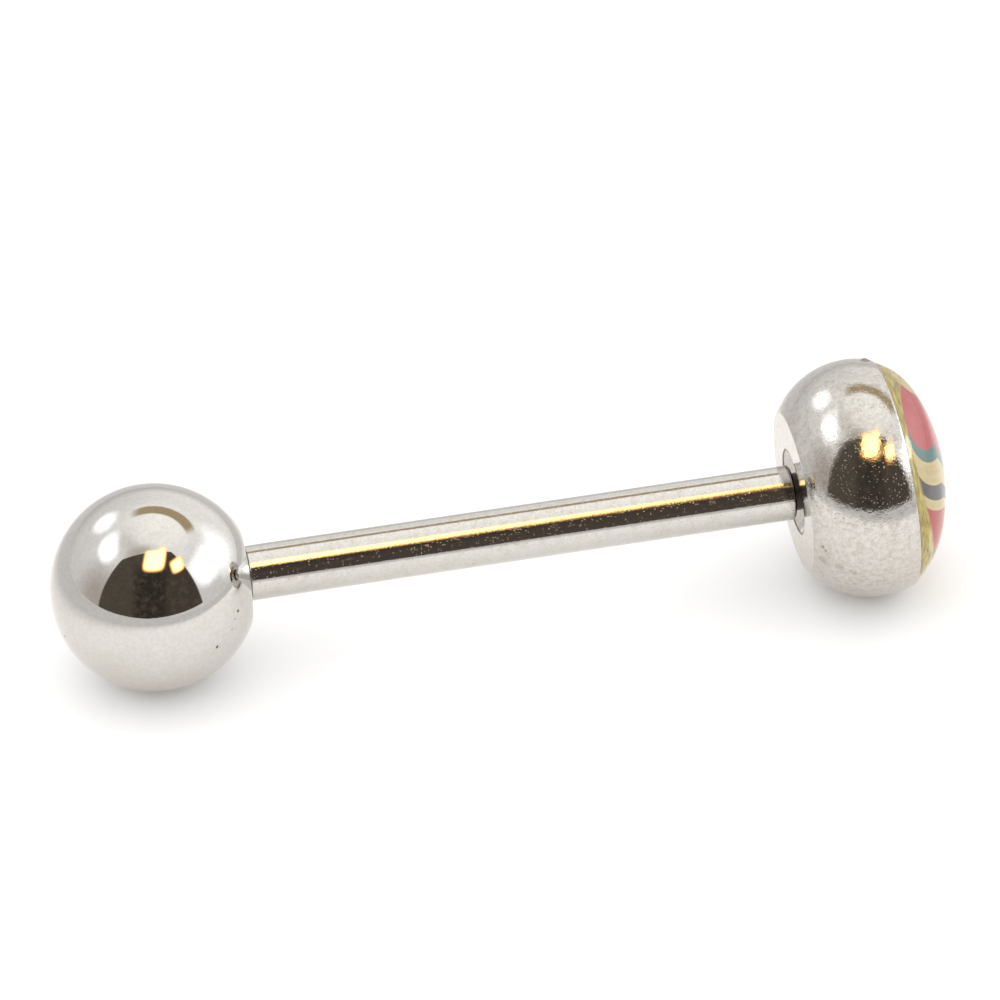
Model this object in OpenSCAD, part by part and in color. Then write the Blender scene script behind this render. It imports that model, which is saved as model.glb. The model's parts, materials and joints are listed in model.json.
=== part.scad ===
// Tongue barbell: a straight steel bar with a plain ball on one end and a domed picture end on the other.
// It lies on a flat surface, resting on the ball and on the widest part of the picture end.
// The bar runs along +X from the ball to the picture end, +Z is up, and sizes are in millimetres.

/* [Bar] */
// Diameter of the bar, where it is worn through the piercing
bar_d = 1.6; // [1.3:0.05:2]
// Distance from the flat of the ball to the back of the picture end
bar_span = 16.3; // [12:0.1:24]
// Diameter of the posts that reach into the ball and the picture end
post_d = 1.1; // [0.8:0.05:1.2]
// How far each post reaches past the flat that it enters
post_len = 1.7; // [1:0.1:1.8]

/* [Plain ball] */
// Diameter of the plain ball
ball_d = 6; // [5:0.1:7.5]
// Diameter of the flat on the ball, on the bar's side
ball_flat_d = 3; // [2.7:0.1:4]

/* [Picture end] */
// Widest diameter of the picture end
holder_d = 7; // [6.9:0.05:8]
// Diameter of its flat back, on the bar's side
back_d = 4.7; // [3.5:0.1:6]
// How far the side's bulge draws in from the widest part to the front
front_inset = 0.16; // [0.04:0.01:0.4]
// Length of the steel, from the back to the front edge
holder_len = 2.95; // [2.8:0.05:4]
// Distance from the back to the widest part
widest_at = 2.1; // [1.8:0.05:2.4]
// Width of the steel edge round the recess in the front
edge_w = 0.03; // [0.02:0.01:0.3]
// Depth of the recess that holds the picture
recess_depth = 0.2; // [0.16:0.01:0.4]
// Angle by which the picture end leans up on its thread, in degrees
lean = 3.5; // [0:0.5:4]

/* [Picture and dome] */
// Thickness of the round picture
picture_t = 0.12; // [0.08:0.01:0.14]
// Height of the dome above the front edge of the steel
dome_h = 1.45; // [1.4:0.05:2]
// Radius of the dome's rounded edge, which runs smoothly into a shallower cap
dome_round = 2.4; // [1:0.1:2.4]
// Angle at which the rounded edge leans in where it leaves the steel, in degrees
dome_rake = 30; // [25:1:40]
// How far the cap's highest point sits above the centre of the picture
dome_off = 0.2; // [0:0.01:0.25]

/* [Fits] */
// Diameter of the countersink round each bore
countersink_d = 2.5; // [2:0.1:2.6]
// Gap between each shoulder of the bar and the flat that it faces
shoulder_gap = 0.08; // [0.02:0.01:0.15]
// Gap between a post and the wall of its bore
bore_play = 0.05; // [0.02:0.01:0.08]
// Gap between the end of a post and the floor of its bore
end_gap = 0.2; // [0.1:0.05:0.3]
// Gap between pieces that lie on or in each other
seat_gap = 0.02; // [0.01:0.01:0.03]

/* [Hidden] */
$fn = 128;

STEEL = [0.80, 0.79, 0.77];
PRINT = [0.72, 0.62, 0.25];
RESIN = [0.93, 0.91, 0.80];
past = 1;

// Radius of an arc that runs for half_w along its tangent while it drops by drop
function arc_r(half_w, drop) = (half_w * half_w + drop * drop) / (2 * drop);

// The point at that distance along that angle
function on_ray(r, angle) = r * [cos(angle), sin(angle)];

// Where the middle of a cap lies on the line, if its top is there and it runs smoothly into an edge
function cap_middle(top, mid, r) = (pow(top - r, 2) - pow(norm(mid), 2)) / (2 * (top - r - mid.y));

ball_r = ball_d / 2;
flat_at = sqrt(pow(ball_r, 2) - pow(ball_flat_d / 2, 2));
seat_at = flat_at + bar_span;

holder_r = holder_d / 2;
rear_arc = arc_r(widest_at, holder_r - back_d / 2);
front_arc = arc_r(holder_len - widest_at, front_inset);
recess_r = holder_r - front_inset - edge_w;
floor_at = holder_len - recess_depth;
picture_at = floor_at + seat_gap;
dome_foot = picture_at + picture_t + seat_gap;
fill_r = recess_r - seat_gap;
dome_top = holder_len + dome_h;
edge_mid = [fill_r, holder_len] - on_ray(dome_round, dome_rake);
cap_mid = cap_middle(dome_top, edge_mid, dome_round);
cap_r = dome_top - cap_mid;

// The leaning bore is wider, by as much as the lean shifts the post at its tip
ball_bore_r = post_d / 2 + bore_play;
holder_bore_r = ball_bore_r + post_len * tan(lean);
bore_depth = post_len + end_gap;

// The bar's slope, at which the ball and the rear arc of the picture end both touch the surface
ring_r = holder_r - rear_arc;
reach = seat_at + widest_at * cos(lean) + ring_r * sin(lean);
rise = widest_at * sin(lean) - ring_r * cos(lean);
slope = asin((rear_arc - ball_r) / norm([reach, rise])) - atan2(rise, reach);

// The front of the dome, measured from the ball's centre, sets the ball's place so that X = 0 is the middle
front_x = seat_at * cos(slope) + cap_mid * cos(slope + lean) - dome_off * sin(slope + lean) + cap_r;
ball_x = (ball_r - front_x) / 2;

// Puts what is drawn along +Z from the ball's centre onto the line of the bar
module on_bar() {
    translate([ball_x, 0, ball_r]) rotate([0, 90 - slope, 0]) children();
}

// Puts what is drawn along +Z from the middle of the back onto the leaning picture end
module on_picture_end() {
    on_bar() translate([0, 0, seat_at]) rotate([0, -lean, 0]) children();
}

// A blind bore with a countersunk mouth at the origin, running along +Z
module blind_bore(r, depth) {
    mouth_r = countersink_d / 2;
    translate([0, 0, -past]) cylinder(h = depth + past, r = r);
    cylinder(h = mouth_r - r, r1 = mouth_r, r2 = r);
}

// Outline of the holder on one side of its widest part, bounded by an arc
module side_outline(arc, from, to) {
    intersection() {
        translate([holder_r - arc, widest_at]) circle(r = arc);
        translate([0, from]) square([holder_r, to - from]);
    }
}

// Outline of the dome's rounded edge, from the picture up to the slope at which the edge meets the cap
module dome_outline() {
    meets = atan2(edge_mid.y - cap_mid, edge_mid.x);
    meets_at = edge_mid + on_ray(dome_round, meets);
    intersection() {
        translate([0, dome_foot]) square([fill_r, cap_r]);
        union() {
            translate(edge_mid) circle(r = dome_round);
            polygon([[0, 0], [edge_mid.x, 0], edge_mid, meets_at,
                     [0, meets_at.y + meets_at.x / tan(meets)]]);
        }
    }
}

module bar() {
    tip = flat_at - post_len;
    shoulder = flat_at + shoulder_gap;
    color(STEEL) on_bar() union() {
        translate([0, 0, shoulder]) cylinder(h = bar_span - 2 * shoulder_gap, r = bar_d / 2);
        translate([0, 0, tip]) cylinder(h = bar_span + 2 * post_len, r = post_d / 2);
    }
}

module ball() {
    color(STEEL) on_bar() difference() {
        sphere(r = ball_r);
        translate([0, 0, flat_at]) cylinder(h = ball_r, r = ball_r);
        translate([0, 0, flat_at]) mirror([0, 0, 1]) blind_bore(ball_bore_r, bore_depth);
    }
}

module picture_holder() {
    color(STEEL) on_picture_end() difference() {
        rotate_extrude() union() {
            side_outline(rear_arc, 0, widest_at);
            side_outline(front_arc, widest_at, holder_len);
        }
        translate([0, 0, floor_at]) cylinder(h = recess_depth + past, r = recess_r);
        blind_bore(holder_bore_r, bore_depth);
    }
}

module picture() {
    color(PRINT) on_picture_end() translate([0, 0, picture_at]) cylinder(h = picture_t, r = fill_r);
}

module dome() {
    color(RESIN) on_picture_end() intersection() {
        translate([-dome_off, 0, cap_mid]) sphere(r = cap_r);
        rotate_extrude() dome_outline();
    }
}

bar();
ball();
picture_holder();
picture();
dome();
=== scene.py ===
import json
import math
from collections import namedtuple

import bpy
from mathutils import Matrix, Vector
from mathutils.bvhtree import BVHTree


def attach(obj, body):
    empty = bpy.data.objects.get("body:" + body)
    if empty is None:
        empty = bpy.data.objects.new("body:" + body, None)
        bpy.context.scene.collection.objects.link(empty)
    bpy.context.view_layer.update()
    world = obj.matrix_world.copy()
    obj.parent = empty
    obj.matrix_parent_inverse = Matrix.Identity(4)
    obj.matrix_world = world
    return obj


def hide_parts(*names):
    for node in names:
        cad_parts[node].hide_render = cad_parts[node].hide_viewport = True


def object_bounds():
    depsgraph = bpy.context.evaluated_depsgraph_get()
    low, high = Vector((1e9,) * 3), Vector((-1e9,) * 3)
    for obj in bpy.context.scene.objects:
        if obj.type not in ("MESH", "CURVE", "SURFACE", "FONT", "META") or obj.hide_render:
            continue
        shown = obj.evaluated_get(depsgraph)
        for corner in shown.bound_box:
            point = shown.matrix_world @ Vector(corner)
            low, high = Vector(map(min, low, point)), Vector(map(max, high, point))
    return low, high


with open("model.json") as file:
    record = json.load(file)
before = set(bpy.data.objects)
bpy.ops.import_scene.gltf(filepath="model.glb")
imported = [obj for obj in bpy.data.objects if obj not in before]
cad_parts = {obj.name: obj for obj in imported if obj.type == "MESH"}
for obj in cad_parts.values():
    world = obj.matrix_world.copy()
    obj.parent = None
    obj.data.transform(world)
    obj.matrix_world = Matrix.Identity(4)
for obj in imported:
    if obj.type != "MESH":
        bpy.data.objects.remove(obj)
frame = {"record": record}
cad_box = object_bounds()

# A tongue barbell that lies on its plain ball and on the widest part of its picture end.
# Every piece is turned about the line of the bar, which the frame's mount gives. Outlines are drawn in
# millimetres, first along that line and then out from it. A surface's facing is in degrees: 0 looks along
# the line to the picture, 90 straight out from it, 180 back to the ball and -90 or 270 in towards it.
MM = 0.001
FRONT, OUT, BACK = 0, 90, 180

# The bar, as the frame's mount has it, and the ends that reach past its two shoulders
STRETCH = frame["record"]["mounts"][0]
BAR_R = STRETCH["dims"]["r_mm"]
SHOULDER_GAP = 0.08
POST_R = 0.55
POST_LEN = 1.7
BAR_SPAN = STRETCH["dims"]["length_mm"] + 2 * SHOULDER_GAP

# The plain ball, cut flat on the bar's side
BALL_R = 3.0
FLAT_R = 1.5
FLAT_AT = math.sqrt(BALL_R**2 - FLAT_R**2)

# The picture end: its steel holder, the picture in the holder's recess and the dome over it
LEAN = 3.5
HOLDER_R = 3.5
BACK_R = 2.35
FRONT_INSET = 0.16
HOLDER_LEN = 2.95
WIDEST_AT = 2.1
EDGE_W = 0.03
RECESS_DEPTH = 0.2
PICTURE_T = 0.12
DOME_H = 1.45
DOME_ROUND = 2.4
DOME_RAKE = 30
DOME_OFF = 0.22
SEAT_GAP = 0.02

# The worn edge of the holder: its rounding ends at the recess, where it faces halfway to the front
FRONT_ROUND = 0.2
LIP_FACES = 45

# A small burr that a knock left on the holder: where the photograph shows it, and its size
BURR_X, BURR_Y = 865, 360
BURR_R = 0.14
BURR_RISE = 0.06

# The holes that take the bar's posts; the leaning one is wider, by as much as the lean shifts the post's tip
MOUTH_R = 1.25
BORE_PLAY = 0.05
END_GAP = 0.2
BALL_BORE_R = POST_R + BORE_PLAY
HOLDER_BORE_R = BALL_BORE_R + POST_LEN * math.tan(math.radians(LEAN))
BORE_DEPTH = POST_LEN + END_GAP

# The screw thread on the picture's side. Its flanks are a wave, made straighter by one three times as fast.
PITCH = 0.25
THREAD_DEPTH = 0.07
THREAD_WAVE = 0.45
FAST_WAVE = 0.05
ROWS_A_TURN = 14
PLAIN_NECK = 0.2

# How finely the pieces are turned, and how soft their edges are
AROUND = 320
SOFT_EDGE = 0.09
FINE_EDGE = 0.025
CHAMFER = 0.05


def arc_radius(half_width, drop):
    """Radius of an arc that drops by drop over half_width along its tangent."""
    return (half_width**2 + drop**2) / (2 * drop)


def facing(degrees):
    """The direction in an outline that a surface faces."""
    return Vector((math.cos(math.radians(degrees)), math.sin(math.radians(degrees))))


def arc(middle, radius, start, end, steps):
    """Points on a bulge and the way each faces, from one facing to another."""
    turns = [start + (end - start) * i / steps for i in range(steps + 1)]
    return [(Vector(middle) + facing(turn) * radius, facing(turn)) for turn in turns]


def corner(along, out, size, start, end, steps=6):
    """A corner rounded by size, where the surface turns from one facing to another; it may be hollow."""
    solid = 1 if end < start else -1
    first, last = facing(start), facing(end)
    middle = Vector((along, out)) - (first + last) * (solid * size / (1 + first.dot(last)))
    turns = [start + (end - start) * i / steps for i in range(steps + 1)]
    return [(middle + facing(turn) * (solid * size), facing(turn)) for turn in turns]


def edge_on_bulge(middle, radius, flat_at, size):
    """The middle of a rounded edge between a bulge and a flat, and its facing where it leaves the bulge."""
    along = flat_at - math.copysign(size, flat_at - middle[0])
    out = middle[1] + math.sqrt((radius - size) ** 2 - (along - middle[0]) ** 2)
    return (along, out), math.degrees(math.atan2(out - middle[1], along - middle[0]))


def end_point(along, way):
    """Where an outline closes on the line."""
    return [(Vector((along, 0)), facing(way))]


def around():
    """The angles of one turn, each with its outward direction across the line."""
    for i in range(AROUND):
        turn = 2 * math.pi * i / AROUND
        yield turn, Vector((0, math.cos(turn), math.sin(turn)))


def turned(outline):
    """Rings of points and normals, as a lathe makes them from an outline."""
    rings = []
    for (along, out), (ahead, outward) in outline:
        if out < 1e-9:
            rings.append([(Vector((along, 0, 0)), Vector((ahead, 0, 0)))])
            continue
        rings.append([(Vector((along, 0, 0)) + way * out, Vector((ahead, 0, 0)) + way * outward)
                      for _, way in around()])
    return rings


def thread(start, end, crest_r, inside=False):
    """Rings of a screw thread from start to end, which fades into the plain wall at both ends."""
    side = -1 if inside else 1
    rows = round(abs(end - start) / PITCH * ROWS_A_TURN)
    rings = []
    for row in range(1, rows):
        along = start + (end - start) * row / rows
        fade = min(1, (0.5 - abs(row / rows - 0.5)) * rows / ROWS_A_TURN)
        depth = THREAD_DEPTH * fade
        ring = []
        for turn, way in around():
            phase = 2 * math.pi * along / PITCH - turn
            cut = 0.5 - THREAD_WAVE * math.cos(phase) - FAST_WAVE * math.cos(3 * phase)
            steepness = depth * (THREAD_WAVE * math.sin(phase) + 3 * FAST_WAVE * math.sin(3 * phase))
            out = crest_r - side * depth * cut
            across = Vector((0, -way.z, way.y))
            tilt = Vector((steepness * 2 * math.pi / PITCH, 0, 0)) - across * (steepness / out)
            ring.append((Vector((along, 0, 0)) + way * out, (way * side + tilt).normalized()))
        rings.append(ring)
    return rings


def on_line(origin, axis):
    """The place of what is drawn along a line from origin; its third direction points up."""
    across = Vector((0, 1, 0))
    return Matrix.Translation(origin) @ Matrix((axis, across, axis.cross(across))).transposed().to_4x4()


def skin(name, rings, place):
    """A closed mesh over rings of points, with the exact normals that were worked out for them."""
    points, normals, faces, starts = [], [], [], []
    for ring in rings:
        starts.append(len(points))
        points += [(place @ point) * MM for point, _ in ring]
        normals += [place.to_3x3() @ normal for _, normal in ring]
    for row, (low, high) in enumerate(zip(rings, rings[1:])):
        a, b = starts[row], starts[row + 1]
        for i in range(AROUND):
            j = (i + 1) % AROUND
            if len(low) == 1:
                faces.append((a, b + j, b + i))
            elif len(high) == 1:
                faces.append((a + i, a + j, b))
            else:
                faces.append((a + i, a + j, b + j, b + i))
    mesh = bpy.data.meshes.new(name)
    mesh.from_pydata(points, [], faces)
    mesh.shade_smooth()
    mesh.normals_split_custom_set_from_vertices(normals)
    piece = bpy.data.objects.new(name, mesh)
    bpy.context.scene.collection.objects.link(piece)
    return piece


def blind_hole(mouth_at, inward, bore_r, threaded=False):
    """The rings of a countersunk blind hole, from the flat that it is cut into to its floor."""
    sink = MOUTH_R - bore_r
    step = 1 if inward == FRONT else -1
    floor = mouth_at + step * BORE_DEPTH
    if inward == BACK:
        mouth = corner(mouth_at, MOUTH_R, FINE_EDGE, FRONT, -45)
        throat = corner(mouth_at - sink, bore_r, FINE_EDGE, -45, -90)
        bottom = corner(floor, bore_r, FINE_EDGE, -90, FRONT)
        return turned(mouth + throat + bottom + end_point(floor, FRONT))
    mouth = corner(mouth_at, MOUTH_R, FINE_EDGE, 225, BACK)
    throat = corner(mouth_at + sink, bore_r, FINE_EDGE, 270, 225)
    bottom = corner(floor, bore_r, FINE_EDGE, BACK, 270)
    cut = thread(floor - FINE_EDGE, mouth_at + sink + FINE_EDGE, bore_r, inside=True) if threaded else []
    return turned(end_point(floor, BACK) + bottom) + cut + turned(throat + mouth)


def seen_at(piece, x, y):
    """The place on a piece that the photograph shows at a pixel, counted from its top left."""
    tree = BVHTree.FromPolygons([point.co for point in piece.data.vertices],
                                [face.vertices for face in piece.data.polygons])
    view = bpy.context.scene.camera
    per_pixel = view.data.sensor_width / view.data.lens / PHOTO_WIDE
    ray = Vector(((x - PHOTO_WIDE / 2) * per_pixel, (PHOTO_WIDE / 2 - y) * per_pixel, -1))
    return tree.ray_cast(view.matrix_world.translation, view.matrix_world.to_3x3() @ ray)[0]


# The two bulges of the holder's side, from the widest part to the back and to the rounded front edge
REAR_BULGE = arc_radius(WIDEST_AT, HOLDER_R - BACK_R)
FRONT_BULGE = arc_radius(HOLDER_LEN - WIDEST_AT, FRONT_INSET)
REAR_MIDDLE = (WIDEST_AT, HOLDER_R - REAR_BULGE)
FRONT_MIDDLE = (WIDEST_AT, HOLDER_R - FRONT_BULGE)
ROUND_ENDS = HOLDER_LEN + FRONT_ROUND * (1 - facing(LIP_FACES).x)
FRONT_EDGE, LEAVES_FRONT = edge_on_bulge(FRONT_MIDDLE, FRONT_BULGE, ROUND_ENDS, FRONT_ROUND)
LIP = Vector(FRONT_EDGE) + facing(LIP_FACES) * FRONT_ROUND

# What lies in the holder's recess
RECESS_R = HOLDER_R - FRONT_INSET - EDGE_W
FILL_R = RECESS_R - SEAT_GAP
PICTURE_AT = HOLDER_LEN - RECESS_DEPTH + SEAT_GAP

# The dome's rounded edge, and the shallow cap that it runs into
DOME_EDGE = Vector((HOLDER_LEN, FILL_R)) - facing(OUT - DOME_RAKE) * DOME_ROUND
EDGE_TOP = HOLDER_LEN + DOME_H - DOME_ROUND
CAP_MIDDLE = (EDGE_TOP**2 - DOME_EDGE.length_squared) / (2 * (EDGE_TOP - DOME_EDGE.x))
CAP_R = HOLDER_LEN + DOME_H - CAP_MIDDLE
CAP_MEETS = math.degrees(math.atan2(DOME_EDGE.y, DOME_EDGE.x - CAP_MIDDLE))

# Where the pieces lie
AXIS = Vector(STRETCH["axis"]).normalized()
BALL_CENTRE = Vector(STRETCH["pos_m"]) / MM - AXIS * (FLAT_AT + BAR_SPAN / 2)
SEAT = BALL_CENTRE + AXIS * (FLAT_AT + BAR_SPAN)
ON_BAR = on_line(BALL_CENTRE, AXIS)
ON_PICTURE_END = on_line(SEAT, Matrix.Rotation(math.radians(-LEAN), 3, "Y") @ AXIS)


def make_bar():
    """The bar with its two shoulders, and the post at each end; the picture's side has a screw thread."""
    near, far = FLAT_AT + SHOULDER_GAP, FLAT_AT + BAR_SPAN - SHOULDER_GAP
    near_tip, far_tip = FLAT_AT - POST_LEN, FLAT_AT + BAR_SPAN + POST_LEN
    start = end_point(near_tip, BACK)
    start += corner(near_tip, POST_R - CHAMFER, FINE_EDGE, BACK, 135)
    start += corner(near_tip + CHAMFER, POST_R, FINE_EDGE, 135, OUT)
    start += corner(near, POST_R, FINE_EDGE, OUT, BACK)
    start += corner(near, BAR_R - CHAMFER, FINE_EDGE, BACK, 135)
    start += corner(near + CHAMFER, BAR_R, FINE_EDGE, 135, OUT)
    start += corner(far - CHAMFER, BAR_R, FINE_EDGE, OUT, 45)
    start += corner(far, BAR_R - CHAMFER, FINE_EDGE, 45, FRONT)
    start += corner(far, POST_R, FINE_EDGE, FRONT, OUT)
    cut = thread(far + PLAIN_NECK, far_tip - CHAMFER, POST_R)
    end = corner(far_tip - CHAMFER, POST_R, FINE_EDGE, OUT, 45)
    end += corner(far_tip, POST_R - CHAMFER, FINE_EDGE, 45, FRONT)
    end += end_point(far_tip, FRONT)
    return skin("bar_turned", turned(start) + cut + turned(end), ON_BAR)


def make_ball():
    """The plain ball, with a soft edge round its flat and a countersunk hole for the bar."""
    edge, leaves = edge_on_bulge((0, 0), BALL_R, FLAT_AT, SOFT_EDGE)
    outline = end_point(-BALL_R, BACK)
    outline += arc((0, 0), BALL_R, BACK, leaves, steps=120)[1:]
    outline += arc(edge, SOFT_EDGE, leaves, FRONT, steps=8)[1:]
    return skin("ball_turned", turned(outline) + blind_hole(FLAT_AT, BACK, BALL_BORE_R), ON_BAR)


def make_holder():
    """The holder: its flat back with the hole, its bulging side with the burr, its lip and the recess."""
    back_edge, meets_rear = edge_on_bulge(REAR_MIDDLE, REAR_BULGE, 0, SOFT_EDGE)
    floor = HOLDER_LEN - RECESS_DEPTH
    outline = arc(back_edge, SOFT_EDGE, BACK, meets_rear, steps=8)
    outline += arc(REAR_MIDDLE, REAR_BULGE, meets_rear, OUT, steps=60)[1:]
    outline += arc(FRONT_MIDDLE, FRONT_BULGE, OUT, LEAVES_FRONT, steps=20)[1:]
    outline += arc(FRONT_EDGE, FRONT_ROUND, LEAVES_FRONT, LIP_FACES, steps=16)[1:]
    outline += corner(LIP.x + LIP.y - RECESS_R, RECESS_R, FINE_EDGE / 4, LIP_FACES, -90)
    outline += corner(floor, RECESS_R, FINE_EDGE, -90, FRONT)
    outline += end_point(floor, FRONT)
    hole = blind_hole(0, FRONT, HOLDER_BORE_R, threaded=True)
    piece = skin("picture_holder_turned", hole + turned(outline), ON_PICTURE_END)
    burr = seen_at(piece, BURR_X, BURR_Y)
    outward = (burr - ON_PICTURE_END @ Vector((WIDEST_AT, 0, 0)) * MM).normalized()
    for point in piece.data.vertices:
        share = (point.co - burr).length / (BURR_R * MM)
        if share < 1:
            point.co += outward * (BURR_RISE * MM * (1 - share**2))
    return piece


def make_picture():
    """The printed disc. Its texture map lies flat on it, with the middle at 0.5, 0.5."""
    front = PICTURE_AT + PICTURE_T
    outline = end_point(PICTURE_AT, BACK)
    outline += corner(PICTURE_AT, FILL_R, FINE_EDGE, BACK, OUT)
    outline += corner(front, FILL_R, FINE_EDGE, OUT, FRONT)
    outline += end_point(front, FRONT)
    piece = skin("picture_disc", turned(outline), ON_PICTURE_END)
    chart = piece.data.uv_layers.new(name="flat")
    back_to_line = ON_PICTURE_END.inverted()
    for loop in piece.data.loops:
        spot = back_to_line @ (piece.data.vertices[loop.vertex_index].co / MM)
        chart.data[loop.index].uv = (0.5 + spot.y / (2 * FILL_R), 0.5 + spot.z / (2 * FILL_R))
    return piece


def make_dome():
    """The dome: its foot on the picture, and its rounded edge and cap, which sit higher farther out."""
    sunk = 0.01
    foot = PICTURE_AT + PICTURE_T - sunk
    climb = DOME_OFF / DOME_H
    outline = arc(DOME_EDGE, DOME_ROUND, OUT - DOME_RAKE, CAP_MEETS, steps=30)
    outline += arc((CAP_MIDDLE, 0), CAP_R, CAP_MEETS, FRONT, steps=40)[1:]
    rings = turned(end_point(foot, BACK) + corner(foot, FILL_R, FINE_EDGE, BACK, OUT))
    for ring in turned(outline):
        lifted = []
        for point, normal in ring:
            point = point + Vector((0, 0, climb * (point.x - HOLDER_LEN)))
            normal = normal - Vector((climb * normal.z, 0, 0))
            lifted.append((point, normal.normalized()))
        rings.append(lifted)
    return skin("dome_cast", rings, ON_PICTURE_END)


# Materials are built from nodes. Distances in them are in metres, as in the pieces, and heights in microns.
MICRON = 1e-6


def add(tree, kind, inputs=(), **settings):
    """A node of that kind, with values or other nodes' outputs put on its inputs."""
    made = tree.nodes.new("ShaderNode" + kind)
    for key, setting in settings.items():
        setattr(made, key, setting)
    for key, value in dict(inputs).items():
        if isinstance(value, bpy.types.NodeSocket):
            tree.links.new(value, made.inputs[key])
        else:
            made.inputs[key].default_value = value
    return made


def maths(tree, operation, *values, clamp=False):
    """The output of a Math node."""
    return add(tree, "Math", enumerate(values), operation=operation, use_clamp=clamp).outputs[0]


def vector_maths(tree, operation, *values, output="Vector"):
    """An output of a Vector Math node."""
    return add(tree, "VectorMath", enumerate(values), operation=operation).outputs[output]


def mapped(tree, value, low, high, to_low=0.0, to_high=1.0, smooth=True):
    """A value carried from one range to another, held inside it."""
    way = "SMOOTHSTEP" if smooth else "LINEAR"
    inputs = {"Value": value, "From Min": low, "From Max": high, "To Min": to_low, "To Max": to_high}
    return add(tree, "MapRange", inputs, interpolation_type=way).outputs["Result"]


def mixed(tree, share, first, second):
    """Two colours mixed by a share."""
    made = add(tree, "Mix", {0: share, 6: first, 7: second}, data_type="RGBA")
    return made.outputs[2]


def noise(tree, where, size, detail=2.0, roughness=0.5):
    """A noise of about that grain size, from 0 to 1."""
    inputs = {"Vector": where, "Scale": 1 / size, "Detail": detail, "Roughness": roughness}
    return add(tree, "TexNoise", inputs).outputs["Fac"]


def effect(name, inputs, outputs):
    """An empty node group with named sockets: its tree, what enters it and what leaves it."""
    tree = bpy.data.node_groups.new(name, "ShaderNodeTree")
    for label, kind, value in inputs:
        socket = tree.interface.new_socket(label, in_out="INPUT", socket_type="NodeSocket" + kind)
        socket.default_value = value
    for label, kind in outputs:
        tree.interface.new_socket(label, in_out="OUTPUT", socket_type="NodeSocket" + kind)
    return tree, tree.nodes.new("NodeGroupInput").outputs, tree.nodes.new("NodeGroupOutput").inputs


def use(tree, group, inputs):
    """The outputs of a node group that is placed in a material or in the world."""
    return add(tree, "Group", inputs, node_tree=group).outputs


def polish_effect():
    """What polishing leaves on steel: a fine orange peel and slow waves."""
    inputs = [("Position", "Vector", (0, 0, 0)), ("Grain Size", "Float", 1e-4),
              ("Grain Depth", "Float", 0.2), ("Wave Size", "Float", 1e-3), ("Wave Depth", "Float", 0.5)]
    tree, given, result = effect("polish", inputs, [("Height", "Float"), ("Mottle", "Float")])
    per_grain = maths(tree, "DIVIDE", 1.0, given["Grain Size"])
    per_wave = maths(tree, "DIVIDE", 1.0, given["Wave Size"])
    grain = add(tree, "TexNoise", {"Vector": given["Position"], "Scale": per_grain, "Detail": 2.5,
                                   "Roughness": 0.7})
    wave = add(tree, "TexNoise", {"Vector": given["Position"], "Scale": per_wave, "Detail": 1.0})
    height = maths(tree, "MULTIPLY", grain.outputs["Fac"], given["Grain Depth"])
    swell = maths(tree, "MULTIPLY", wave.outputs["Fac"], given["Wave Depth"])
    tree.links.new(maths(tree, "ADD", height, swell), result["Height"])
    tree.links.new(grain.outputs["Fac"], result["Mottle"])
    return tree


def pits_effect():
    """Small round pits, far apart: a mask that is 1 inside them."""
    inputs = [("Position", "Vector", (0, 0, 0)), ("Spacing", "Float", 5e-4), ("Size", "Float", 3e-5),
              ("Share", "Float", 0.3)]
    tree, given, result = effect("pits", inputs, [("Mask", "Float")])
    per_pit = maths(tree, "DIVIDE", 1.0, given["Spacing"])
    cells = add(tree, "TexVoronoi", {"Vector": given["Position"], "Scale": per_pit})
    near = maths(tree, "MULTIPLY", cells.outputs["Distance"], given["Spacing"])
    inside = mapped(tree, maths(tree, "DIVIDE", near, given["Size"]), 1.0, 0.5)
    pick = add(tree, "SeparateColor", {"Color": cells.outputs["Color"]}).outputs["Red"]
    chosen = maths(tree, "LESS_THAN", pick, given["Share"])
    tree.links.new(maths(tree, "MULTIPLY", inside, chosen), result["Mask"])
    return tree


def stains_effect():
    """Cloudy stains with frayed edges: a mask that is 1 in them."""
    inputs = [("Position", "Vector", (0, 0, 0)), ("Size", "Float", 5e-4), ("Share", "Float", 0.4)]
    tree, given, result = effect("stains", inputs, [("Mask", "Float")])
    per_cloud = maths(tree, "DIVIDE", 1.0, given["Size"])
    cloud = add(tree, "TexNoise", {"Vector": given["Position"], "Scale": per_cloud, "Detail": 4.0,
                                   "Roughness": 0.75}).outputs["Fac"]
    edge = maths(tree, "SUBTRACT", 0.75, maths(tree, "MULTIPLY", given["Share"], 0.5))
    tree.links.new(mapped(tree, maths(tree, "SUBTRACT", cloud, edge), -0.12, 0.2), result["Mask"])
    return tree


def dirt_and_shade_effect():
    """Darkening between two distances from a place, with frayed edges, for dark marks and for rings of
    painted shade: a mask that is 1 in it.
    """
    inputs = [("Position", "Vector", (0, 0, 0)), ("Place", "Vector", (0, 0, 0)), ("Inner", "Float", -1.0),
              ("Outer", "Float", 1e-4), ("Soft", "Float", 3e-5)]
    tree, given, result = effect("darkening", inputs, [("Mask", "Float")])
    far = vector_maths(tree, "DISTANCE", given["Position"], given["Place"], output="Value")
    fray = maths(tree, "SUBTRACT", noise(tree, given["Position"], 8e-5), 0.5)
    far = maths(tree, "MULTIPLY_ADD", fray, maths(tree, "MULTIPLY", given["Soft"], 2.0), far)
    past_outer = maths(tree, "DIVIDE", maths(tree, "SUBTRACT", far, given["Outer"]), given["Soft"])
    past_inner = maths(tree, "DIVIDE", maths(tree, "SUBTRACT", far, given["Inner"]), given["Soft"])
    inside_outer = mapped(tree, past_outer, 0.5, -0.5)
    outside_inner = mapped(tree, past_inner, -0.5, 0.5)
    tree.links.new(maths(tree, "MULTIPLY", inside_outer, outside_inner), result["Mask"])
    return tree


POLISH = polish_effect()
PITS = pits_effect()
STAINS = stains_effect()
DIRT_AND_SHADE = dirt_and_shade_effect()


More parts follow.
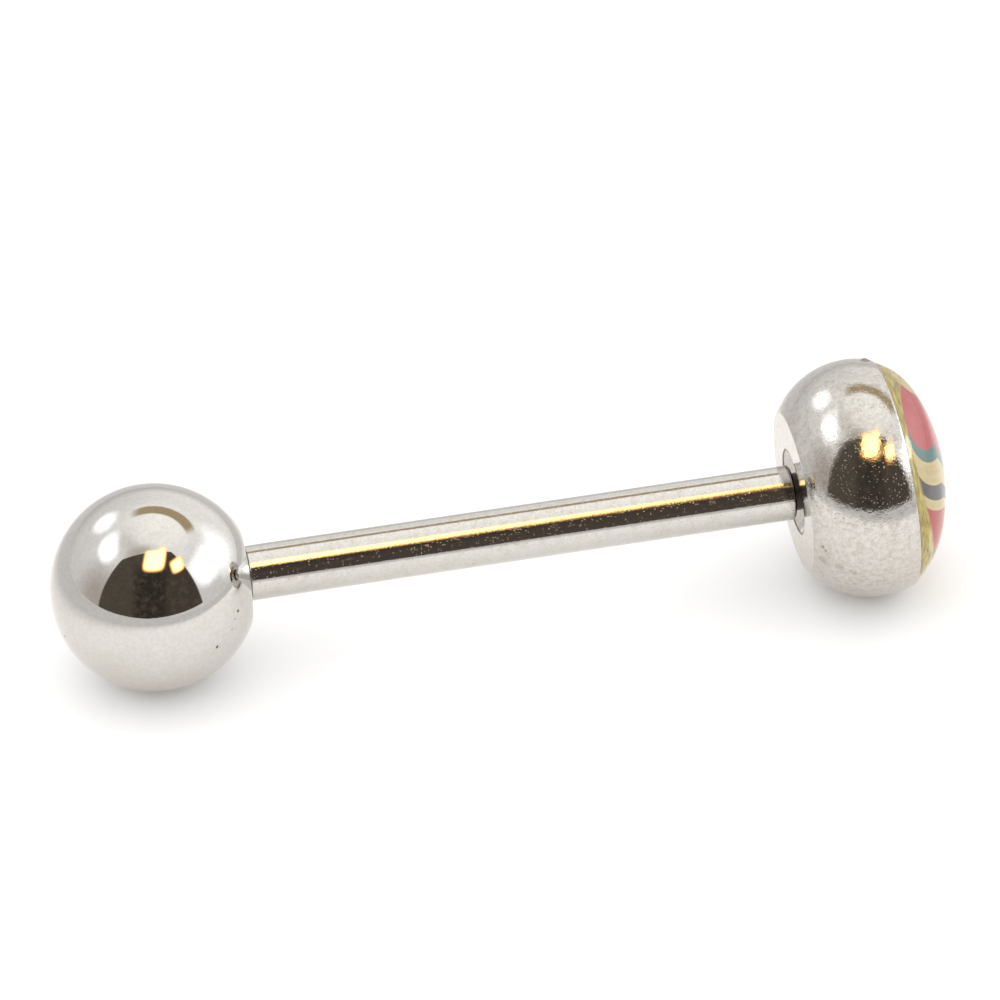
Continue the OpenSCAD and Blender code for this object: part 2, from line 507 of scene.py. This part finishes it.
def material(name, class_inputs):
    """A new material: its tree, its Principled shader and the place on the piece."""
    made = bpy.data.materials.new(name)
    made.use_nodes = True
    tree = made.node_tree
    tree.nodes.clear()
    shader = add(tree, "BsdfPrincipled", class_inputs)
    leave = add(tree, "OutputMaterial")
    tree.links.new(shader.outputs[0], leave.inputs["Surface"])
    return made, tree, shader, add(tree, "TexCoord").outputs["Object"]


def raise_surface(tree, shader, height):
    """Bumps a surface by a height in microns."""
    bump = add(tree, "Bump", {"Strength": 1.0, "Distance": MICRON, "Height": height})
    tree.links.new(bump.outputs["Normal"], shader.inputs["Normal"])


STEEL_TINT = (0.64, 0.638, 0.63, 1)
DULL_TINT = (0.58, 0.572, 0.552, 1)
STAIN_TINT = (0.44, 0.395, 0.33, 1)
GRIME_AND_SHADE_TINT = (0.05, 0.04, 0.03, 1)
PIT_TINT = (0.1, 0.07, 0.05, 1)

# How far apart specks and pits lie in their own sizes, how deep they are in microns, and the share of the
# steel that stains cover
SPECKS_APART = 3.5
PITS_APART = 16
SPECK_DEPTH = 2.5
PIT_DEPTH = 3.0
STAIN_SHARE = 0.45

# How a piece is polished and how dirty it is: the sizes of its grain, waves, stains, specks and pits in
# metres, the depths of its grain and waves in microns, how strong its stains are, and the share of places
# that hold a speck or a pit
Finish = namedtuple(
    "Finish", "roughness grain grain_depth wave wave_depth stain stained speck specked pit pitted")

# A mark on a piece: where it is seen in the photograph, its radius in millimetres and how dark it is
Mark = namedtuple("Mark", "x y radius dark")

# Painted shade that keeps to a place: the place, the least and greatest distance from it and how soft its
# edges are, in millimetres, and how dark it is. Shade that is FILLED has no least distance.
PaintedShadeRing = namedtuple("PaintedShadeRing", "place inner outer soft dark")
FILLED = -1


def steel(name, piece, finish, marks=(), painted_shade_rings=()):
    """Polished stainless steel with stains, specks, pits and single marks, and rings of painted shade round
    places.
    """
    made, tree, shader, where = material(name, {"Metallic": 1.0})
    polish = use(tree, POLISH, {
        "Position": where, "Grain Size": finish.grain, "Grain Depth": finish.grain_depth,
        "Wave Size": finish.wave, "Wave Depth": finish.wave_depth})
    speck = use(tree, PITS, {"Position": where, "Spacing": finish.speck * SPECKS_APART, "Size": finish.speck,
                             "Share": finish.specked})["Mask"]
    pit = use(tree, PITS, {"Position": where, "Spacing": finish.pit * PITS_APART, "Size": finish.pit,
                           "Share": finish.pitted})["Mask"]
    stain = use(tree, STAINS, {"Position": where, "Size": finish.stain, "Share": STAIN_SHARE})["Mask"]
    stain = maths(tree, "MULTIPLY", stain, finish.stained)
    for mark in marks:
        reach = mark.radius * MM
        spot = use(tree, DIRT_AND_SHADE, {"Position": where, "Place": seen_at(piece, mark.x, mark.y), "Outer": reach,
                                "Soft": reach * 0.6})["Mask"]
        pit = maths(tree, "MAXIMUM", pit, maths(tree, "MULTIPLY", spot, mark.dark))
    shade = mixed(tree, mapped(tree, polish["Mottle"], 0.3, 0.7), DULL_TINT, STEEL_TINT)
    shade = mixed(tree, stain, shade, STAIN_TINT)
    shade = mixed(tree, maths(tree, "MULTIPLY", speck, 0.15), shade, GRIME_AND_SHADE_TINT)
    shade = mixed(tree, pit, shade, PIT_TINT)
    rough = mapped(tree, polish["Mottle"], 0.3, 0.7, finish.roughness * 1.3, finish.roughness)
    rough = maths(tree, "ADD", rough, maths(tree, "MULTIPLY", maths(tree, "MAXIMUM", pit, stain), 0.15))
    # painted shade: each ring darkens the steel towards near-black round its place
    for ring in painted_shade_rings:
        darkening = use(tree, DIRT_AND_SHADE, {"Position": where, "Place": ring.place * MM, "Inner": ring.inner * MM,
                                "Outer": ring.outer * MM, "Soft": ring.soft * MM})["Mask"]
        darkening = maths(tree, "MULTIPLY", darkening, ring.dark)
        shade = mixed(tree, darkening, shade, GRIME_AND_SHADE_TINT)
        rough = maths(tree, "MULTIPLY_ADD", darkening, 0.3, rough)
    tree.links.new(shade, shader.inputs["Base Color"])
    tree.links.new(rough, shader.inputs["Roughness"])
    height = maths(tree, "MULTIPLY_ADD", pit, -PIT_DEPTH, polish["Height"])
    raise_surface(tree, shader, maths(tree, "MULTIPLY_ADD", speck, -SPECK_DEPTH, height))
    return made


def bar_steel(piece):
    """The bar's steel, with a fine grain, and painted shade round its seat in the picture end."""
    finish = Finish(roughness=0.05, grain=6e-5, grain_depth=1.4, wave=1.5e-3, wave_depth=1.0,
                    stain=3e-4, stained=0.3, speck=2e-5, specked=0.5, pit=2e-5, pitted=0.1)
    inside_seat = SEAT + AXIS * 0.5
    # painted shade: a near-black ball round the seat darkens the shoulder and post in the gap
    painted_shade_rings = [PaintedShadeRing(inside_seat, inner=FILLED, outer=1.03, soft=0.05, dark=0.95)]
    return steel("bar_steel", piece, finish, painted_shade_rings=painted_shade_rings)


def ball_steel(piece):
    """The ball's mirror polish, with a few pits."""
    finish = Finish(roughness=0.03, grain=1.2e-4, grain_depth=0.16, wave=2e-3, wave_depth=0.6,
                    stain=9e-4, stained=0.12, speck=2e-5, specked=0.0, pit=3e-5, pitted=0.02)
    marks = [Mark(238, 611, 0.045, 1.0), Mark(217, 647, 0.05, 1.0), Mark(65, 636, 0.04, 1.0),
             Mark(235, 619, 0.03, 0.6), Mark(232, 629, 0.03, 0.5)]
    return steel("ball_steel", piece, finish, marks)


def holder_steel(piece):
    """The holder's worn polish: an orange peel, specks and stains, and painted shade in its hole, round the
    hole's mouth and where its recess meets the dome by the lip.
    """
    finish = Finish(roughness=0.06, grain=1.2e-4, grain_depth=3.8, wave=1e-3, wave_depth=1.5,
                    stain=1.7e-4, stained=0.75, speck=2.2e-5, specked=0.65, pit=2.5e-5, pitted=0.2)
    # the mark on the burr is painted shade, which stands in for the shading of its raised spot
    marks = [Mark(823, 547, 0.06, 0.5), Mark(826, 551, 0.05, 0.5), Mark(BURR_X, BURR_Y, BURR_R, 0.6),
             Mark(823, 560, 0.16, 0.22), Mark(840, 567, 0.14, 0.2), Mark(853, 572, 0.12, 0.2)]
    ahead = 3.0
    in_front = ON_PICTURE_END @ Vector((HOLDER_LEN + ahead, 0, 0))
    to_recess = math.hypot(ahead, RECESS_R)
    # painted shade: the hole, a dark line round its mouth, and the recess wall and inner lip where the dome
    # meets the steel
    painted_shade_rings = [PaintedShadeRing(SEAT, inner=FILLED, outer=0.98, soft=0.05, dark=0.95),
             PaintedShadeRing(SEAT, inner=MOUTH_R - 0.03, outer=MOUTH_R + 0.03, soft=0.03, dark=0.8),
             PaintedShadeRing(in_front, inner=FILLED, outer=to_recess + 0.02, soft=0.02, dark=0.8)]
    return steel("holder_steel", piece, finish, marks, painted_shade_rings)


GOLD = (0.7, 0.58, 0.1, 1)
DEEP_GOLD = (0.32, 0.24, 0.04, 1)
PALE_GOLD = (0.97, 0.88, 0.42, 1)
GREY_BLUE = (0.2, 0.28, 0.32, 1)
RED = (0.68, 0.07, 0.1, 1)
NAVY = (0.05, 0.065, 0.12, 1)
CREAM = (0.85, 0.72, 0.4, 1)
TEAL = (0.06, 0.25, 0.26, 1)
INK = (0.03, 0.03, 0.03, 1)

# What mottles the deep gold, one over another: the colour, the size of its clouds in metres, and where in
# the noise they begin and are full
CLOUDS = ((GOLD, 2.5e-4, 0.3, 0.55), (PALE_GOLD, 5e-4, 0.48, 0.72), (GREY_BLUE, 4e-4, 0.4, 0.28))

# The picture: on a gold ground, a fan of bent blades that turn about a point near the rim. Each colour has
# the share of a sector where it begins; lengths are in widths of the picture.
FAN_MIDDLE = (0.73, 0.28, 0)
FAN_R = 0.4
FAN_EDGE = 0.01
FAN_SECTORS = 6
FAN_TWIST = 0.16
FAN_TURN = 0.1
BLADES = ((0.0, CREAM), (0.1, RED), (0.5, TEAL), (0.62, CREAM), (0.85, NAVY))


def printed_picture(_):
    """A plain fan of blades on gold, printed a little unevenly."""
    made, tree, shader, where = material("printed_picture", {"Roughness": 0.5})
    chart = add(tree, "TexCoord").outputs["UV"]
    flat = vector_maths(tree, "SUBTRACT", chart, FAN_MIDDLE)
    parts = add(tree, "SeparateXYZ", {"Vector": flat}).outputs
    far = vector_maths(tree, "LENGTH", flat, output="Value")
    angle = maths(tree, "DIVIDE", maths(tree, "ARCTAN2", parts["Y"], parts["X"]), 2 * math.pi)
    bent = maths(tree, "ADD", angle, maths(tree, "MULTIPLY", far, FAN_TWIST))
    sector = maths(tree, "FRACT", maths(tree, "MULTIPLY_ADD", bent, FAN_SECTORS, FAN_TURN))
    fan = add(tree, "ValToRGB", {"Fac": sector})
    fan.color_ramp.interpolation = "CONSTANT"
    stops = fan.color_ramp.elements
    for i, (begin, colour) in enumerate(BLADES):
        stop = stops[i] if i < 2 else stops.new(begin)
        stop.position = begin
        stop.color = colour
    ground = DEEP_GOLD
    for colour, size, begin, full in CLOUDS:
        cloud = noise(tree, where, size, detail=4.0)
        ground = mixed(tree, mapped(tree, cloud, begin, full), ground, colour)
    shade = mixed(tree, mapped(tree, far, FAN_R, FAN_R + FAN_EDGE), fan.outputs["Color"], ground)
    grain = noise(tree, where, 8e-5)
    shade = mixed(tree, mapped(tree, grain, 0.2, 0.8, to_high=0.15), shade, INK)
    tree.links.new(shade, shader.inputs["Base Color"])
    return made


def clear_resin(_):
    """Clear glossy resin with very slow waves in its surface."""
    inputs = {"Base Color": (0.97, 0.96, 0.9, 1), "Metallic": 0.0, "Transmission Weight": 1.0, "IOR": 1.5}
    made, tree, shader, where = material("clear_resin", inputs)
    surface = use(tree, POLISH, {"Position": where, "Grain Size": 2e-4, "Grain Depth": 0.05,
                                 "Wave Size": 1.2e-3, "Wave Depth": 1.0})
    rough = mapped(tree, surface["Mottle"], 0.3, 0.7, 0.03, 0.01)
    tree.links.new(rough, shader.inputs["Roughness"])
    raise_surface(tree, shader, surface["Height"])
    return made


# The floor and the light tent round the object. A bearing is 0 towards -Y and 90 towards +X; a part of the
# tent is seen at a bearing and a height, with half its width and height, its slant, how square and how soft
# its outline is, and the light that it gives. All angles are in degrees.
TentPart = namedtuple("TentPart", "name bearing height half_wide half_high slant square soft light")
TENT_LOW = (0.9, 0.87, 0.85, 1)
TENT_HIGH = (1.22, 1.19, 1.15, 1)
TENT_PARTS = [
    TentPart("left_shade", -78, 8, 20, 26, 0, 2, 0.8, (0.58, 0.52, 0.47, 1)),
    TentPart("left_slope", -90, 66, 22, 12, 0, 2, 0.9, (0.95, 0.9, 0.86, 1)),
    TentPart("left_fold", -56, 69, 7, 11, 0.4, 2, 0.9, (0.68, 0.61, 0.52, 1)),
    TentPart("back_light", 146, 63, 26, 24, 0, 2, 0.8, (1.42, 1.38, 1.3, 1)),
    TentPart("right_wall", 135, 14, 32, 22, 0, 2, 0.8, (1.25, 1.22, 1.16, 1)),
    TentPart("far_shade", 180, -4, 40, 12, 0, 2, 0.8, (0.66, 0.64, 0.62, 1)),
    TentPart("left_panel", -147, 33, 8.5, 8.5, 0.2, 2, 0.7, (2.4, 2.4, 2.4, 1)),
    TentPart("left_light", -106, 46, 11.5, 8.5, -0.2, 2.5, 0.7, (2.8, 2.8, 2.8, 1)),
    TentPart("right_panel", 68, 30, 16, 12, 0, 3, 0.6, (2.6, 2.6, 2.6, 1)),
    TentPart("right_glow", 98, 23, 17, 15, 0, 3, 0.7, (1.9, 1.9, 1.9, 1)),
    TentPart("right_lamp", 78, 30, 9, 6, 0.3, 3, 0.3, (12, 12, 12, 1)),
    TentPart("seam", 150, 50, 26.5, 6, 0, 5, 0.2, (0.55, 0.42, 0.26, 1)),
]

# The tent's open front: an upright opening that faces one bearing, from one side to the other, the tangent
# of the height that it reaches there, and how much its sill rises for each degree to the right
OPEN_FACES = -5
OPEN_LEFT = -72
OPEN_RIGHT = 44
OPEN_REACH = 3.4
SILL_RISE = 0.06

# The dark room, and its lamps with the glow round them
DARK_ROOM = (0.1, 0.085, 0.065, 1)
DARK_WALL = (0.042, 0.035, 0.029, 1)
SIDE_WALL = (0.08, 0.064, 0.052, 1)
ROOM_CLUTTER = (0.16, 0.115, 0.08, 1)
WARM_GLOW = (2.6, 1.25, 0.3, 1)
WARM_LAMP = (4.6, 3.2, 1.3, 1)
ROOM_PARTS = [
    TentPart("side_wall", 24, 20, 20, 44, 0, 6, 0.2, SIDE_WALL),
    TentPart("dark_wall", -14, 20, 18, 34, 0, 6, 0.3, DARK_WALL),
]
LAMP_PARTS = [
    TentPart("large_glow", -4, 63.5, 12, 12, 0.3, 5, 0.15, WARM_GLOW),
    TentPart("large_lamp", -4, 64, 10.5, 10.5, 0.3, 5, 0.15, WARM_LAMP),
    TentPart("small_glow", 35, 51, 8, 7, 0.3, 4, 0.2, WARM_GLOW),
    TentPart("small_lamp", 35, 51, 6.5, 5.5, 0.3, 4, 0.2, WARM_LAMP),
]

# What the world gives where nothing is mirrored: an even light on the pieces, and the white that is seen
SOFT_LIGHT = (1.38, 1.38, 1.38, 1)
PLAIN_WHITE = (1, 1, 1, 1)

# The floor's paint, and the painted light and shade that reflections show of it: painted warm beside a lit
# place by the object, it darkens away from it
FLOOR_SIZE = 3.0
FLOOR_WHITE = (0.93, 0.93, 0.93, 1)
FLOOR_PAINTED_LIT = (0.95, 0.91, 0.87, 1)
FLOOR_PAINTED_SHADE = (0.59, 0.565, 0.55, 1)
LIT_PLACE = (0.006, -0.006, 0)
BESIDE = 0.012
AWAY = 0.026


def patch_effect():
    """A soft-edged rounded patch in bearing and height, all in degrees: a mask that is 1 inside it."""
    inputs = [("Bearing", "Float", 0), ("Height", "Float", 0), ("Middle Bearing", "Float", 0),
              ("Middle Height", "Float", 0), ("Half Width", "Float", 10), ("Half Height", "Float", 10),
              ("Slant", "Float", 0), ("Square", "Float", 2), ("Soft", "Float", 0.2)]
    tree, given, result = effect("patch", inputs, [("Mask", "Float")])
    turn = maths(tree, "SUBTRACT", given["Bearing"], given["Middle Bearing"])
    turn = maths(tree, "WRAP", turn, 180.0, -180.0)
    high = maths(tree, "SUBTRACT", given["Height"], given["Middle Height"])
    narrow = maths(tree, "COSINE", maths(tree, "RADIANS", given["Height"]))
    wide = maths(tree, "SUBTRACT", maths(tree, "MULTIPLY", turn, narrow),
                 maths(tree, "MULTIPLY", high, given["Slant"]))
    reach_wide = maths(tree, "ABSOLUTE", maths(tree, "DIVIDE", wide, given["Half Width"]))
    reach_high = maths(tree, "ABSOLUTE", maths(tree, "DIVIDE", high, given["Half Height"]))
    total = maths(tree, "ADD", maths(tree, "POWER", reach_wide, given["Square"]),
                  maths(tree, "POWER", reach_high, given["Square"]))
    edge = maths(tree, "POWER", total, maths(tree, "DIVIDE", 1.0, given["Square"]))
    outer = maths(tree, "ADD", 1.0, given["Soft"])
    inner = maths(tree, "SUBTRACT", 1.0, given["Soft"])
    tree.links.new(mapped(tree, edge, outer, inner), result["Mask"])
    return tree


def light_tent():
    """The tent, its white lights, and its open front onto a dark room with two warm lamps."""
    world = bpy.data.worlds.new("light_tent")
    bpy.context.scene.world = world
    world.use_nodes = True
    tree = world.node_tree
    tree.nodes.clear()
    ways = add(tree, "SeparateXYZ", {"Vector": add(tree, "TexCoord").outputs["Generated"]}).outputs
    toward = maths(tree, "MULTIPLY", ways["Y"], -1.0)
    bearing = maths(tree, "DEGREES", maths(tree, "ARCTAN2", ways["X"], toward))
    height = maths(tree, "DEGREES", maths(tree, "ARCSINE", ways["Z"]))
    patch = patch_effect()

    def inside(part):
        """A mask that is 1 where a part is seen."""
        return use(tree, patch, {
            "Bearing": bearing, "Height": height,
            "Middle Bearing": part.bearing, "Middle Height": part.height,
            "Half Width": part.half_wide, "Half Height": part.half_high,
            "Slant": part.slant, "Square": part.square, "Soft": part.soft})["Mask"]

    def front_opening():
        """A mask that is 1 where the dark room shows through the open front."""
        middle, half = (OPEN_LEFT + OPEN_RIGHT) / 2, (OPEN_RIGHT - OPEN_LEFT) / 2
        across = maths(tree, "ABSOLUTE", maths(tree, "SUBTRACT", bearing, middle))
        away = maths(tree, "RADIANS", maths(tree, "SUBTRACT", bearing, OPEN_FACES))
        reach = maths(tree, "MULTIPLY", maths(tree, "COSINE", away), OPEN_REACH)
        above = maths(tree, "SUBTRACT", maths(tree, "TANGENT", maths(tree, "RADIANS", height)), reach)
        sill = maths(tree, "MULTIPLY", maths(tree, "SUBTRACT", bearing, middle), SILL_RISE)
        over = maths(tree, "SUBTRACT", height, sill)
        mask = mapped(tree, across, half + 1, half - 1)
        mask = maths(tree, "MULTIPLY", mask, mapped(tree, above, 0.05, -0.05))
        return maths(tree, "MULTIPLY", mask, mapped(tree, over, -0.3, 0.3))

    shade = mixed(tree, mapped(tree, height, 0.0, 70.0), TENT_LOW, TENT_HIGH)
    for part in TENT_PARTS:
        shade = mixed(tree, inside(part), shade, part.light)
    room = DARK_ROOM
    for part in ROOM_PARTS:
        room = mixed(tree, inside(part), room, part.light)
    clutter = noise(tree, add(tree, "TexCoord").outputs["Generated"], 0.12, detail=4.0, roughness=0.7)
    room = mixed(tree, mapped(tree, clutter, 0.45, 0.7, 0.0, 0.6), room, ROOM_CLUTTER)
    shade = mixed(tree, front_opening(), shade, room)
    for part in LAMP_PARTS:
        shade = mixed(tree, inside(part), shade, part.light)
    path = add(tree, "LightPath").outputs
    direct = maths(tree, "LESS_THAN", path["Diffuse Depth"], 0.5)
    mirrored = maths(tree, "MULTIPLY", path["Is Glossy Ray"], direct)
    clear = maths(tree, "MULTIPLY", path["Is Transmission Ray"], direct)
    plain = mixed(tree, maths(tree, "MAXIMUM", path["Is Camera Ray"], clear), SOFT_LIGHT, PLAIN_WHITE)
    soft = add(tree, "Background", {"Color": plain, "Strength": 1.0})
    tent = add(tree, "Background", {"Color": shade, "Strength": 1.0})
    both = add(tree, "MixShader", {0: mirrored, 1: soft.outputs[0], 2: tent.outputs[0]})
    leave = add(tree, "OutputWorld")
    tree.links.new(both.outputs[0], leave.inputs["Surface"])


def pale_floor():
    """A white floor, far larger than the object, with painted light and shade in what reflections show of
    it.
    """
    half = FLOOR_SIZE / 2
    mesh = bpy.data.meshes.new("floor")
    mesh.from_pydata([(-half, -half, 0), (half, -half, 0), (half, half, 0), (-half, half, 0)], [],
                     [(0, 1, 2, 3)])
    floor = bpy.data.objects.new("floor", mesh)
    bpy.context.scene.collection.objects.link(floor)
    made, tree, shader, where = material("white_floor", {"Roughness": 1.0, "Specular IOR Level": 0.0})
    parts = add(tree, "SeparateXYZ", {"Vector": vector_maths(tree, "SUBTRACT", where, LIT_PLACE)}).outputs
    half_long = (cad_box[1][0] - cad_box[0][0]) / 2 - BALL_R * MM
    past = maths(tree, "SUBTRACT", maths(tree, "ABSOLUTE", parts["X"]), half_long)
    past = maths(tree, "MAXIMUM", past, 0.0)
    span = add(tree, "CombineXYZ", {"X": past, "Y": parts["Y"]}).outputs[0]
    away = mapped(tree, vector_maths(tree, "LENGTH", span, output="Value"), BESIDE, AWAY)
    reflected_shade = mixed(tree, away, FLOOR_PAINTED_LIT, FLOOR_PAINTED_SHADE)
    path = add(tree, "LightPath").outputs
    # painted shade: reflections see the floor warm near the object and darker away from it, while the camera
    # sees it white
    tree.links.new(mixed(tree, path["Is Glossy Ray"], FLOOR_WHITE, reflected_shade), shader.inputs["Base Color"])
    floor.data.materials.append(made)


# The camera stands where the photograph was taken from, as worked out from the outlines
CAMERA_BEARING = -11.8
CAMERA_HEIGHT = 34.0
CAMERA_ROLL = -0.95
CAMERA_DISTANCE = 0.230
CAMERA_AIM = Vector((0.000035, 0, 0.004418))
CAMERA_LENS = 287.4
PHOTO_WIDE = 1000


def camera():
    """The camera, at the photograph's angle."""
    turn, tilt = math.radians(CAMERA_BEARING), math.radians(CAMERA_HEIGHT)
    back = Vector((math.sin(turn) * math.cos(tilt), -math.cos(turn) * math.cos(tilt), math.sin(tilt)))
    right = Vector((math.cos(turn), math.sin(turn), 0))
    level = Matrix((right, back.cross(right), back)).transposed()
    made = bpy.data.objects.new("camera", bpy.data.cameras.new("camera"))
    bpy.context.scene.collection.objects.link(made)
    made.matrix_world = (Matrix.Translation(CAMERA_AIM + back * CAMERA_DISTANCE)
                         @ (level @ Matrix.Rotation(math.radians(CAMERA_ROLL), 3, "Z")).to_4x4())
    made.data.lens = CAMERA_LENS
    made.data.clip_start = 0.01
    made.data.clip_end = 10.0
    bpy.context.scene.camera = made


# How each piece is made and finished, its slot, the node that it replaces and the body that it rides
Build = namedtuple("Build", "make finish slot node body")
BUILDS = [
    Build(make_bar, bar_steel, "bar_steel", "bar", "bar_and_ball"),
    Build(make_ball, ball_steel, "ball_steel", "ball", "bar_and_ball"),
    Build(make_holder, holder_steel, "holder_steel", "picture_holder", "picture_end"),
    Build(make_picture, printed_picture, "printed_picture", "picture", "picture_end"),
    Build(make_dome, clear_resin, "clear_resin", "dome", "picture_end"),
]

camera()
light_tent()
pale_floor()
for build in BUILDS:
    piece = build.make()
    made = build.finish(piece)
    piece.data.materials.append(made)
    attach(piece, build.body)
    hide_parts(build.node)

bpy.context.scene.view_settings.view_transform = "Standard"
